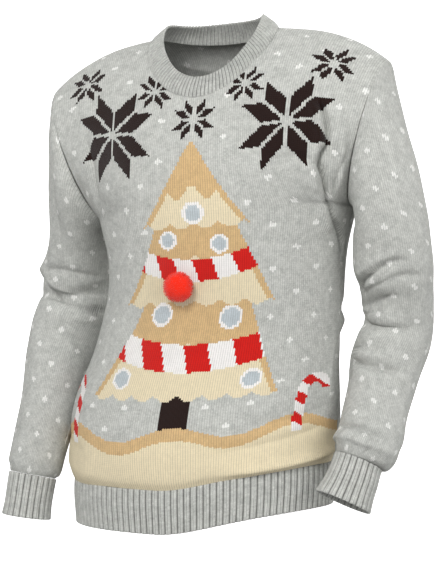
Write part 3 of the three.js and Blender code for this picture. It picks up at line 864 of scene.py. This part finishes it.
def panel_grid(front):
    """The stitches of a panel: points, places, shares, and how far each is across and up."""
    hem, underarm = (0, SPANS) if front else (BACK_HEM, BACK_UNDERARM)
    places = np.linspace(hem, SHOULDER, ROUGH_ROWS)
    rough_shares = np.linspace(0, 1, ROUGH_COLUMNS)
    rough = body(places[:, None], rough_shares[None])
    across, up = lengths(rough)
    climb = (up[:, 0] + up[:, -1]) / 2
    count = round(climb[-1] / (sizes().course / MM))
    wales = round(across[np.argmin(np.abs(places - underarm)), -1] / (sizes().wale / MM))
    course_places = np.interp(np.linspace(0, climb[-1], count + 1), climb, places)
    side_row = across[np.argmin(np.abs(places - underarm))]
    shares = np.interp(np.linspace(0, side_row[-1], 2 * wales + 1), side_row, rough_shares)

    # Odd columns stand half a stitch higher, so each wale is a column of Vs.
    signed = np.concatenate([-shares[:0:-1], shares])
    row = np.arange(count + 1)[:, None] + 0.5 * (np.arange(len(signed)) % 2)[None] * np.ones((count + 1, 1))
    row[0], row[-1] = 0, count
    place = np.interp(row, np.arange(count + 1), course_places)
    share = np.abs(signed)[None] * np.ones_like(place)
    half = len(shares) - 1
    flat = body(course_places[:, None], shares[None])
    across, up = lengths(flat)
    across = np.concatenate([-across[:, :0:-1], across], axis=1)
    up = np.concatenate([up[:, :0:-1], up], axis=1)
    column = (np.arange(len(signed)) - half) / 2 + 0.0 * row
    start = neck_start(course_places)
    start = np.interp(row, np.arange(count + 1), start)
    outside = share > start + 1e-9
    share = np.maximum(share, start)
    side = np.where(signed < 0, -1.0, 1.0)[None, :, None]
    points = body(place, share) * np.concatenate([side, np.ones_like(side), np.ones_like(side)], axis=2)
    keep = outside[:-1, :-1] | outside[:-1, 1:] | outside[1:, 1:] | outside[1:, :-1]
    return points, across, up, column, row, keep


# Folds die away this near a panel's seams.
CALM = 14


def build_panel(name, front, folds, design):
    points, across, up, column, row, keep = panel_grid(front)
    points = stance(points)
    normal = smoothed(grid_normals(points), times=6)
    outward = np.sign(np.mean(normal[..., 1])) * (-1 if front else 1)
    normal = normal * outward
    edge = np.abs(across[:, -1:])
    rim = edge - np.abs(across)
    shoulder = np.abs(up[-1:] - up)
    height = fold_height(across, up, folds) * ease(rim, 0, CALM) * ease(shoulder, 0, CALM)
    height -= seam_dip(rim, 0.7) + seam_dip(shoulder, 0.8)
    height += ripple(across, up, 0.7)
    points = points + normal * height[..., None]
    chart_x = (across[:-1, :-1] + across[1:, 1:]) / 2
    chart_y = (up[:-1, :-1] + up[1:, 1:]) / 2
    chart_x, chart_y = by_stitch(chart_x), by_stitch(chart_y)
    chart = design(chart_x, chart_y) if design else np.full(chart_x.shape, GREY)
    chart[snow_dots(chart_x, chart_y, sizes().body_dot_row, design, (13, 20)) & (chart == GREY)] = DOT
    colours = yarn_table()[chart]
    if outward < 0:
        points, column, row = points[:, ::-1], column[:, ::-1], row[:, ::-1]
        colours, keep = colours[:, ::-1], keep[:, ::-1]
    piece = knit_mesh(name, points, column, row, colours, keep)
    tidy_mesh(piece)
    place_piece(piece, jersey(), [name.replace("knitted_", "")])
    return piece


def seam_dip(away, depth, width=2.2):
    """How far the cloth sinks at a distance away from a seam."""
    return depth * np.exp(-((away / width) ** 2))


def ripple(across, up, amount):
    """The cloth's gentle unevenness."""
    return amount * (
        np.sin(across / 31 + up / 47 + 1.3) * np.sin(up / 39 - across / 67)
        + 0.6 * np.sin(across / 17 - up / 23 + 0.7) * np.sin(up / 29 + across / 41 + 2.1)
    )


def by_stitch(field):
    """Gives both legs of a stitch the same value."""
    field = field.copy()
    middle = (field[:, 0::2] + field[:, 1::2]) / 2
    field[:, 0::2] = middle
    field[:, 1::2] = middle
    return field


# ---------------------------------------------------------------------------------------------
# Sleeves


def sleeve_surface(sections, side, rows, angle):
    """rows below 0 are on the cap, from -1 at the armhole, and rows from 0 count the arm's sections."""
    rows, angle = np.broadcast_arrays(rows, angle)
    cap = sleeve_cap(sections, np.clip(rows + 1, 0, 1), angle, side)
    arm = sleeve_ring(sections, np.maximum(rows, 0), angle)
    return np.where((rows < 0)[..., None], cap, arm)


SLEEVE_RADIUS = {"top": 54, "middle": 50}


def build_sleeve(name, sections, side, folds):
    seam_row = len(sections) - 1 - CUFF_ROWS
    size = sizes()
    wales = round(math.tau * SLEEVE_RADIUS["top"] / (size.wale / MM))
    angle = np.linspace(-180, 180, 2 * wales + 1)
    rough_rows = np.concatenate([np.linspace(-1, 0, 80)[:-1], np.linspace(0, seam_row, 240)])
    rough = sleeve_surface(sections, side, rough_rows[:, None], np.array([[90.0]]))
    run = run_length(rough[:, 0])
    outer = sleeve_surface(sections, side, rough_rows[:, None], np.array([[0.0]]))
    outer_run = run_length(outer[:, 0])
    climb = (run + outer_run) / 2
    count = round(climb[-1] / (size.course / MM))
    rows = np.interp(np.linspace(0, climb[-1], count + 1), climb, rough_rows)
    index = np.arange(count + 1)[:, None] + 0.5 * (np.arange(len(angle)) % 2)[None]
    index[0], index[-1] = 0, count
    row_place = np.interp(index, np.arange(count + 1), rows)
    grid_angle = angle[None] * np.ones_like(row_place)
    points = sleeve_surface(sections, side, row_place, grid_angle)
    down = np.linalg.norm(np.diff(points, axis=0), axis=2)
    down = np.concatenate([np.zeros((1, points.shape[1])), np.cumsum(down, axis=0)])
    up = down[-1:] - down
    around = grid_angle / 360 * math.tau * SLEEVE_RADIUS["middle"]
    normal = smoothed(grid_normals(points, closed=True), times=8, closed=True)
    centre = points[:, :-1].mean(axis=1, keepdims=True)
    inward = np.mean(np.sum(normal * (points - centre), axis=2)) < 0
    normal = -normal if inward else normal
    height = fold_height(grid_angle, up, folds, math.tau * SLEEVE_RADIUS["middle"] / 360)
    height = height * ease(down, 0, 16) * ease(up, 0, 10) + ripple(around, up, 0.7)
    height = height * ease(down, 0, 8) - seam_dip(down, 0.6) - seam_dip(up, 1.2, width=2.5)
    height[:, -1] = height[:, 0]
    points = points + normal * height[..., None]
    points[:, -1] = points[:, 0]
    stitch_x = by_stitch((around[:-1, :-1] + around[1:, 1:]) / 2)
    stitch_y = by_stitch((up[:-1, :-1] + up[1:, 1:]) / 2)
    chart = np.full(stitch_x.shape, GREY)
    chart[snow_dots(stitch_x, stitch_y, size.sleeve_dot_row, None, (4, 30))] = DOT
    colours = yarn_table()[chart]
    column = np.arange(len(angle))[None] / 2 + 0.0 * up
    row = up / (size.course / MM)
    points = points * [side, 1, 1]
    flip = (side < 0) != inward
    if flip:
        points, column = points[:, ::-1], column[:, ::-1]
        row, colours = row[:, ::-1], colours[:, ::-1]
    piece = knit_mesh(name, points, column, row, colours)
    tidy_mesh(piece)
    place_piece(piece, jersey(), [name.replace("knitted_", "")])
    return piece


# ---------------------------------------------------------------------------------------------
# Ribbing


def rib_wave(turns):
    """Height of the ribs, from 0 in a furrow to 1 on a rib, over turns from furrow to furrow. The furrows
    are narrow and the ribs are broad."""
    off = np.abs(turns - np.round(turns))
    return 0.8 * ease(off, 0.0, 0.2) + 0.2 * np.sin(math.pi * off)


def build_band(name, line, thickness, turns, closed, relief, node, steps=16, flare=0.0):
    """A closed band of ribbing. line(share) gives its outer face's points, from its seam (0) to its free
    edge (1), for every column, and turns counts the ribs along the columns."""
    shares = np.linspace(0, 1, steps)
    outer = np.stack([line(s) for s in shares])
    normal = grid_normals(outer, closed)
    middle = outer[:, :-1].mean(axis=1, keepdims=True)
    if np.mean(np.sum(normal * (outer - middle), axis=2)) < 0:
        normal = -normal
    normal = smoothed(normal, 3, closed=closed)
    wave = rib_wave(turns)[None]
    rise = relief * (wave - 0.55)
    bulge = 0.35 * np.sin(math.tau * shares)[:, None]
    up = outer + normal * (rise + flare * shares[:, None] ** 2 + bulge)[..., None]
    down = outer + normal * (0.5 * rise - thickness + flare * shares[:, None] ** 2)[..., None]
    lip_out = unit(outer[-1] - outer[-2])
    lip = (up[-1] + down[-1]) / 2 + lip_out * (0.42 * thickness)
    corner_a = up[-1] * 0.72 + down[-1] * 0.28 + lip_out * (0.32 * thickness)
    corner_b = up[-1] * 0.28 + down[-1] * 0.72 + lip_out * (0.32 * thickness)
    loop = np.concatenate([up, corner_a[None], lip[None], corner_b[None], down[::-1], up[:1]])
    run = np.linalg.norm(np.diff(loop, axis=0), axis=2).mean(axis=1)
    run = np.concatenate([[0], np.cumsum(run)]) / (sizes().course / MM)
    rows = run[:, None] + 0.0 * turns[None]
    columns = (turns * 2)[None] + 0.0 * rows
    colours = np.tile(yarn_table()[GREY], (loop.shape[0] - 1, loop.shape[1] - 1, 1))
    # Painted shade: the yarn's colour is darkened in the furrows between the ribs, deeper ribs more.
    depth = relief / (sizes().rib_relief / MM)
    shade = 0.91 - 0.42 * depth * (1 - wave[0])
    colours[..., :3] *= ((shade[1:] + shade[:-1]) / 2)[None, :, None]
    piece = knit_mesh(name, loop, columns, rows, colours)
    if not closed:
        cap_ends(piece, loop)
    tidy_mesh(piece)
    outward_faces(piece)
    place_piece(piece, ribbing(), node)
    return piece


def cap_ends(piece, loop):
    """Closes the two cut ends of a band with one face each."""
    high, wide = loop.shape[:2]

    def cap(work):
        work.verts.ensure_lookup_table()
        for column in (0, wide - 1):
            work.faces.new([work.verts[r * wide + column] for r in range(high - 1)])

    change_mesh(piece, cap)


def outward_faces(piece):
    change_mesh(piece, lambda work: bmesh.ops.recalc_face_normals(work, faces=work.faces))


def evenly(points, count):
    """Shares of a line of points that divide its length evenly."""
    run = run_length(points)
    return np.interp(np.linspace(0, run[-1], count), run, np.linspace(0, 1, len(points))), run[-1]


COLUMNS_PER_RIB = 12
RIB_SHELL = RIB - 0.8
HEM_SAG = 1.3
HEM_SEAM = 1.5
COLLAR_TUCK = 0.05
COLLAR_RELIEF = 0.72
CUFF_SEAM = 0.02


def build_hem(name, front, node):
    place = 0.0 if front else float(BACK_HEM)
    shares = np.linspace(-1, 1, 401)

    def seam(signed):
        p = body(np.full(signed.shape, place), np.abs(signed))
        same = np.ones_like(signed)
        return stance(p * np.stack([np.where(signed < 0, -1, 1), same, same], axis=1))

    _, length = evenly(seam(shares), 3)
    ribs = round(length / (sizes().rib_pitch / MM))
    at, _ = evenly(seam(shares), ribs * COLUMNS_PER_RIB + 1)
    top = seam(at * 2 - 1)
    inward = unit(np.array([SWAY["x"], 0, 0]) - top * [1, 1, 0])
    turns = np.linspace(0, ribs, len(top))

    def line(share):
        sag = HEM_SAG * math.sin(math.pi * share)
        return top + inward * (HEM_TAPER * share - sag) + np.array([0, 0, -(HEM_DEPTH - HEM_SEAM) * share])

    return build_band(name, line, RIB_SHELL, turns, False, sizes().rib_relief / MM, node, 20, 1.0)


def build_neck():
    bearings = np.linspace(0, 180, 240)
    places = np.concatenate([
        np.linspace(FRONT_NECK, SHOULDER, 400), np.linspace(SHOULDER, BACK_NECK, 400)[1:]])
    half = body(places, neck_start(places))
    found = np.degrees(np.arctan2(half[:, 0], NECK["centre_y"] - half[:, 1]))
    left = np.stack([np.interp(bearings, found, half[:, k]) for k in range(3)], axis=1)
    right = left[::-1] * [-1, 1, 1]
    ring = np.concatenate([left, right[1:]])
    _, length = evenly(ring, 3)
    ribs = round(length / (sizes().neck_rib_pitch / MM))
    at, _ = evenly(ring, ribs * COLUMNS_PER_RIB + 1)
    index = at * (len(ring) - 1)
    seam = np.stack([np.interp(index, np.arange(len(ring)), ring[:, k]) for k in range(3)], axis=1)
    seam[-1] = seam[0]
    bearing = np.degrees(np.arctan2(np.abs(seam[:, 0]), NECK["centre_y"] - seam[:, 1]))
    share = np.cos(np.radians(bearing)) ** 2

    def mixed(key):
        end = np.where(bearing < 90, COLLAR_FRONT[key], COLLAR_BACK[key])
        return COLLAR_SIDE[key] + (end - COLLAR_SIDE[key]) * share

    lean, rise = mixed("lean"), mixed("rise")
    stood = stance(seam)
    inward = unit(np.stack([-stood[:, 0], NECK["centre_y"] - stood[:, 1], np.zeros(len(seam))], axis=1))
    turns = np.linspace(0, ribs, len(seam))

    def line(s):
        s = (1 + COLLAR_TUCK) * s - COLLAR_TUCK
        bowed = COLLAR_BOW * 4 * s * (1 - s)
        lifted = np.stack([0 * rise, 0 * rise, rise * s], axis=1)
        return stood + inward * (lean * s - bowed)[:, None] + lifted

    relief = COLLAR_RELIEF * sizes().rib_relief / MM
    return build_band("knitted_neck_rib", line, RIB_SHELL, turns, True, relief, ["neck_rib"], 14)


def build_cuff(name, sections, side, node):
    seam_row = len(sections) - 1 - CUFF_ROWS
    last = len(sections) - 1
    angle = np.linspace(-180, 180, 361)
    ring = sleeve_ring(sections, np.full(angle.shape, float(seam_row + 1)), angle)
    _, length = evenly(ring, 3)
    ribs = round(length / (sizes().rib_pitch / MM))
    at, _ = evenly(ring, ribs * COLUMNS_PER_RIB + 1)
    angles = at * 360 - 180
    turns = np.linspace(0, ribs, len(angles))
    mirror = [side, 1, 1]

    def line(share):
        row = seam_row + CUFF_SEAM + (last - seam_row - 2 * CUFF_SEAM) * share
        points = sleeve_ring(sections, np.full(angles.shape, row), angles) * mirror
        points[-1] = points[0]
        return points

    return build_band(name, line, RIB_SHELL, turns, True, sizes().rib_relief / MM, node, 20, 0.6)


# ---------------------------------------------------------------------------------------------
# Pompom

FIBRES = 2600
FIBRE_LENGTH = 2.6
# Shares of the ball's radius.
FIBRE_ROOT = 0.955
FIBRE_WIDTH = 0.0055
LUMP = {"count": 70, "height": 0.022, "spread": 0.03}


def build_pompom():
    low, high = (np.array(corner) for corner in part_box("pompom"))
    centre = (low + high) / 2
    radius = (high[0] - low[0]) / 2
    depth = (high[1] - low[1]) / 2
    work = bmesh.new()
    bmesh.ops.create_icosphere(work, subdivisions=5, radius=1.0)
    random = np.random.default_rng(11)
    lumps = unit(random.normal(size=(LUMP["count"], 3)))
    for vert in work.verts:
        d = np.array(vert.co)
        lump = float(np.sum(np.exp(-((1 - lumps @ d) / LUMP["spread"])) * LUMP["height"]))
        grain = 0.008 * math.sin(40 * d[0] + 9 * d[2]) * math.sin(37 * d[1] - 31 * d[2])
        squash = np.array([1.0, 1.0 - 0.06 * (d[1] > 0), 1.0])
        vert.co = Vector(d * squash * (0.96 + lump + grain))
    grow = np.array([radius, depth, (high[2] - low[2]) / 2])
    for _ in range(FIBRES):
        d = unit(random.normal(size=3))
        lean = unit(d + 0.9 * random.normal(size=3) * 0.6)
        side = unit(np.cross(d, random.normal(size=3)))
        length = FIBRE_LENGTH * MM * (0.5 + random.random()) / radius
        root = d * FIBRE_ROOT
        thick = FIBRE_WIDTH
        ring = [root + side * thick, root - side * thick * 0.6 + np.cross(d, side) * thick]
        bend = root + d * length * 0.55
        tip = bend + lean * length * 0.5
        a, b = (work.verts.new(p) for p in ring)
        c, e = work.verts.new(bend), work.verts.new(tip)
        work.faces.new((a, b, c))
        work.faces.new((a, c, e))
    mesh = bpy.data.meshes.new("felt_pompom")
    for vert in work.verts:
        vert.co = Vector(np.array(vert.co) * grow * 0.98 + centre)
    for face in work.faces:
        face.smooth = True
    work.to_mesh(mesh)
    work.free()
    piece = bpy.data.objects.new("felt_pompom", mesh)
    bpy.context.scene.collection.objects.link(piece)
    place_piece(piece, shared_material("felted wool", felt_material), ["pompom"])
    return piece


# ---------------------------------------------------------------------------------------------
# Stage

CAMERA_TARGET = (0.005, 0.0, -0.329)
VIEW_HEIGHT = 0.7686
SENSOR = 24
LAMP_TARGET = (0, 0, -0.3)
LAMPS = [
    # name, place in metres, power in watts, width in metres
    ("key", (0.1, -3.3, 1.5), 100, 1.4),
    ("fill", (2.8, -2.2, 0.5), 44, 2.0),
    ("fill_right", (-2.6, -2.4, 0.6), 7, 2.0),
    ("back", (-1.4, 2.8, 1.6), 60, 1.8),
    ("back_left", (2.8, 1.8, 1.2), 36, 1.8),
]
BACKDROP = {"floor_z": -1.35, "radius": 6.0, "bend": 1.2, "height": 5.0}


def build_stage():
    size = sizes()
    data = bpy.data.cameras.new("camera")
    data.sensor_fit = "VERTICAL"
    data.sensor_height = SENSOR
    data.lens = SENSOR * size.camera_distance / VIEW_HEIGHT
    camera = bpy.data.objects.new("camera", data)
    a, e = size.camera_azimuth, size.camera_elevation
    right = Vector((math.cos(a), math.sin(a), 0))
    back = Vector((math.sin(a) * math.cos(e), -math.cos(a) * math.cos(e), math.sin(e)))
    target = right * CAMERA_TARGET[0] + Vector((0, 0, CAMERA_TARGET[2]))
    camera.location = target + back * size.camera_distance
    camera.rotation_euler = back.to_track_quat("Z", "Y").to_euler()
    data.clip_end = 40
    bpy.context.scene.collection.objects.link(camera)
    bpy.context.scene.camera = camera

    profile = [(0.0, BACKDROP["floor_z"])]
    flat = BACKDROP["radius"] - BACKDROP["bend"]
    for k in range(13):
        turn = math.pi / 2 * k / 12
        profile.append((flat + BACKDROP["bend"] * math.sin(turn),
                        BACKDROP["floor_z"] + BACKDROP["bend"] * (1 - math.cos(turn))))
    profile.append((BACKDROP["radius"], BACKDROP["floor_z"] + BACKDROP["height"]))
    sides = 64
    points = [(r * math.cos(math.tau * k / sides), r * math.sin(math.tau * k / sides), z)
              for r, z in profile[1:] for k in range(sides)]
    points.append((0, 0, BACKDROP["floor_z"]))
    rings = len(profile) - 1
    faces = [(i * sides + k, i * sides + (k + 1) % sides,
              (i + 1) * sides + (k + 1) % sides, (i + 1) * sides + k)
             for i in range(rings - 1) for k in range(sides)]
    faces += [(len(points) - 1, (k + 1) % sides, k) for k in range(sides)]
    mesh = bpy.data.meshes.new("backdrop")
    mesh.from_pydata(points, [], faces)
    mesh.polygons.foreach_set("use_smooth", [True] * len(faces))
    backdrop = bpy.data.objects.new("backdrop", mesh)
    bpy.context.scene.collection.objects.link(backdrop)
    material, tree = new_material("white seamless paper")
    paper = add_node(tree, "ShaderNodeBsdfPrincipled", {
        "Base Color": (0.9, 0.9, 0.9, 1), "Roughness": 0.9, "Emission Color": (1, 1, 1, 1),
        "Emission Strength": 0.9})
    add_node(tree, "ShaderNodeOutputMaterial", links={"Surface": paper.outputs[0]})
    mesh.materials.append(material)
    backdrop.visible_diffuse = False

    world = bpy.data.worlds.new("studio")
    bpy.context.scene.world = world
    world.use_nodes = True
    world.node_tree.nodes["Background"].inputs[0].default_value = (1, 1, 1, 1)
    world.node_tree.nodes["Background"].inputs[1].default_value = 0.5
    for name, place, power, width in LAMPS:
        light = bpy.data.lights.new(name, "AREA")
        light.energy = power
        light.size = width
        lamp = bpy.data.objects.new(name, light)
        lamp.location = place
        aim = Vector(place) - Vector(LAMP_TARGET)
        lamp.rotation_euler = aim.to_track_quat("Z", "Y").to_euler()
        bpy.context.scene.collection.objects.link(lamp)
    bpy.context.scene.view_settings.view_transform = "Standard"
    bpy.context.scene.view_settings.look = "None"


# ---------------------------------------------------------------------------------------------
# Operators


class BuildStage(bpy.types.Operator):
    """Set up the camera, the backdrop and the lights"""

    bl_idname = "sweater.stage"
    bl_label = "Stage"

    def execute(self, context):
        build_stage()
        return {"FINISHED"}


class BuildFront(bpy.types.Operator):
    """Knit the front with its winter picture"""

    bl_idname = "sweater.front"
    bl_label = "Front"

    def execute(self, context):
        build_panel("knitted_front_panel", True, FRONT_FOLDS, picture)
        return {"FINISHED"}


class BuildBack(bpy.types.Operator):
    """Knit the back with its snow dots"""

    bl_idname = "sweater.back"
    bl_label = "Back"

    def execute(self, context):
        build_panel("knitted_back_panel", False, BACK_FOLDS, None)
        return {"FINISHED"}


class BuildSleeves(bpy.types.Operator):
    """Knit both sleeves"""

    bl_idname = "sweater.sleeves"
    bl_label = "Sleeves"

    def execute(self, context):
        build_sleeve("knitted_left_sleeve", LEFT_ARM, 1, LEFT_SLEEVE_FOLDS)
        build_sleeve("knitted_right_sleeve", RIGHT_ARM, -1, RIGHT_SLEEVE_FOLDS)
        return {"FINISHED"}


class BuildRibbing(bpy.types.Operator):
    """Knit the neckband, the hem and the cuffs"""

    bl_idname = "sweater.ribbing"
    bl_label = "Ribbing"

    def execute(self, context):
        build_neck()
        build_hem("knitted_front_hem_rib", True, ["front_hem_rib"])
        build_hem("knitted_back_hem_rib", False, ["back_hem_rib"])
        build_cuff("knitted_left_cuff", LEFT_ARM, 1, ["left_cuff"])
        build_cuff("knitted_right_cuff", RIGHT_ARM, -1, ["right_cuff"])
        return {"FINISHED"}


class BuildPompom(bpy.types.Operator):
    """Felt the pompom"""

    bl_idname = "sweater.pompom"
    bl_label = "Pompom"

    def execute(self, context):
        build_pompom()
        return {"FINISHED"}


STEPS = (BuildStage, BuildFront, BuildBack, BuildSleeves, BuildRibbing, BuildPompom)


class SweaterPanel(bpy.types.Panel):
    """The sweater's settings and steps"""

    bl_idname = "VIEW3D_PT_sweater"
    bl_label = "Sweater"
    bl_space_type = "VIEW_3D"
    bl_region_type = "UI"
    bl_category = "Sweater"

    def draw(self, context):
        for group in (context.scene.sweater_sizes, context.scene.sweater_yarns):
            for key in group.__annotations__:
                self.layout.prop(group, key)
        for step in STEPS:
            self.layout.operator(step.bl_idname)


CLASSES = (SweaterSizes, SweaterYarns, *STEPS, SweaterPanel)


def register():
    for cls in CLASSES:
        bpy.utils.register_class(cls)
    bpy.types.Scene.sweater_sizes = bpy.props.PointerProperty(type=SweaterSizes)
    bpy.types.Scene.sweater_yarns = bpy.props.PointerProperty(type=SweaterYarns)


def unregister():
    del bpy.types.Scene.sweater_yarns
    del bpy.types.Scene.sweater_sizes
    for cls in reversed(CLASSES):
        bpy.utils.unregister_class(cls)


def main():
    register()
    bpy.ops.sweater.stage()
    bpy.ops.sweater.front()
    bpy.ops.sweater.back()
    bpy.ops.sweater.sleeves()
    bpy.ops.sweater.ribbing()
    bpy.ops.sweater.pompom()


if __name__ == "__main__":
    main()
